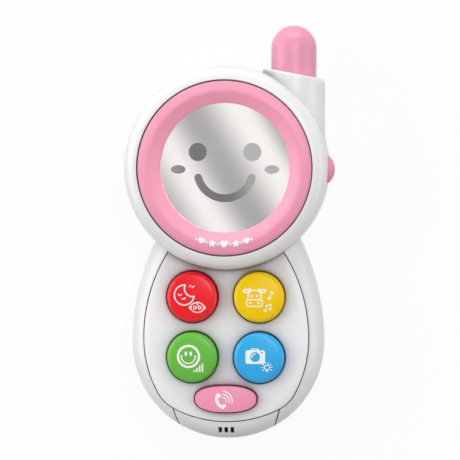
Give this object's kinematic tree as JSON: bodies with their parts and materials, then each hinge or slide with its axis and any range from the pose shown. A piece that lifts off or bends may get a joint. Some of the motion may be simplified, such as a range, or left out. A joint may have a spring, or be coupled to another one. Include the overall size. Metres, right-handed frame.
{
  "type": "toy cell phone",
  "caption": "Toy cell phone with a round mirror head in a ring, stub antenna, egg-shaped body with round coloured keys and an oval call key, side button and battery bay.",
  "frame": {"origin": "on the flat back, on the phone's centreline at the neck where the round head meets the body", "axes": "+X to the right seen from the front, +Y along the phone towards the antenna, +Z out of the face, away from the back"},
  "size_m": [0.0833, 0.1652, 0.0328],
  "materials": {
    "shell_white": "semi-gloss",
    "panel_white": "satin",
    "ring_pink": "gloss",
    "mirror_silver": "polished",
    "antenna_pink": "gloss",
    "button_pink": "gloss",
    "key_red": "gloss",
    "key_yellow": "gloss",
    "key_green": "gloss",
    "key_blue": "gloss",
    "key_pink": "gloss",
    "rubber_grey": "matte",
    "board_green": "satin",
    "chip_black": "matte",
    "can_blue": "satin",
    "lamp_clear": "clear",
    "holder_grey": "matte",
    "steel_zinc": "plated",
    "magnet_grey": "matte",
    "cone_paper": "matte",
    "clamp_white": "matte",
    "cell_wrap": "printed wrap",
    "switch_black": "matte",
    "wire_red": "satin",
    "wire_black": "satin",
    "wire_orange": "satin",
    "wire_blue": "satin"
  },
  "bodies": {
    "housing": {"rear_shell": "shell_white", "front_frame": "shell_white", "chin_cap": "shell_white", "keypad_panel": "panel_white", "head_shell": "shell_white", "mirror_ring": "ring_pink", "mirror_disc": "mirror_silver", "antenna": "antenna_pink", "led_holder": "holder_grey", "antenna_led": "lamp_clear", "main_board": "board_green", "chip_blob": "chip_black", "capacitor": "can_blue", "red_dome": "rubber_grey", "yellow_dome": "rubber_grey", "green_dome": "rubber_grey", "blue_dome": "rubber_grey", "call_dome": "rubber_grey", "side_board": "board_green", "side_dome": "rubber_grey", "speaker_basket": "steel_zinc", "speaker_magnet": "magnet_grey", "speaker_cone": "cone_paper", "speaker_clamp": "clamp_white", "speaker_screws": "steel_zinc", "battery_door": "shell_white", "door_screw": "steel_zinc", "cell_left": "cell_wrap", "cell_right": "cell_wrap", "battery_springs": "steel_zinc", "battery_contacts": "steel_zinc", "body_screws": "steel_zinc", "head_screws": "steel_zinc", "board_screws": "steel_zinc", "ring_screws": "steel_zinc", "switch_body": "switch_black", "speaker_wires": "wire_red", "battery_wires": "wire_black", "led_wires": "wire_orange", "button_wires": "wire_blue"},
    "red_key": {"red_key": "key_red"},
    "yellow_key": {"yellow_key": "key_yellow"},
    "green_key": {"green_key": "key_green"},
    "blue_key": {"blue_key": "key_blue"},
    "call_key": {"call_key": "key_pink"},
    "side_button": {"side_button": "button_pink"},
    "power_slider": {"power_slider": "switch_black"}
  },
  "joints": [
    {"name": "red_key_press", "type": "slide", "parent": "housing", "child": "red_key", "axis": [0, 0, -1], "range_m": [0, 0.0015], "stiffness_N_per_m": 400, "springref_m": -0.0008, "deforming": ["red_dome"]},
    {"name": "yellow_key_press", "type": "slide", "parent": "housing", "child": "yellow_key", "axis": [0, 0, -1], "range_m": [0, 0.0015], "stiffness_N_per_m": 400, "springref_m": -0.0008, "deforming": ["yellow_dome"]},
    {"name": "green_key_press", "type": "slide", "parent": "housing", "child": "green_key", "axis": [0, 0, -1], "range_m": [0, 0.0015], "stiffness_N_per_m": 400, "springref_m": -0.0008, "deforming": ["green_dome"]},
    {"name": "blue_key_press", "type": "slide", "parent": "housing", "child": "blue_key", "axis": [0, 0, -1], "range_m": [0, 0.0015], "stiffness_N_per_m": 400, "springref_m": -0.0008, "deforming": ["blue_dome"]},
    {"name": "call_key_press", "type": "slide", "parent": "housing", "child": "call_key", "axis": [0, 0, -1], "range_m": [0, 0.0015], "stiffness_N_per_m": 400, "springref_m": -0.0008, "deforming": ["call_dome"]},
    {"name": "side_button_press", "type": "slide", "parent": "housing", "child": "side_button", "axis": [-1, 0, 0], "range_m": [0, 0.0012], "stiffness_N_per_m": 400, "springref_m": -0.0008, "deforming": ["side_dome"]},
    {"name": "power_slide", "type": "slide", "parent": "housing", "child": "power_slider", "axis": [1, 0, 0], "range_m": [-0.002, 0.002]}
  ]
}
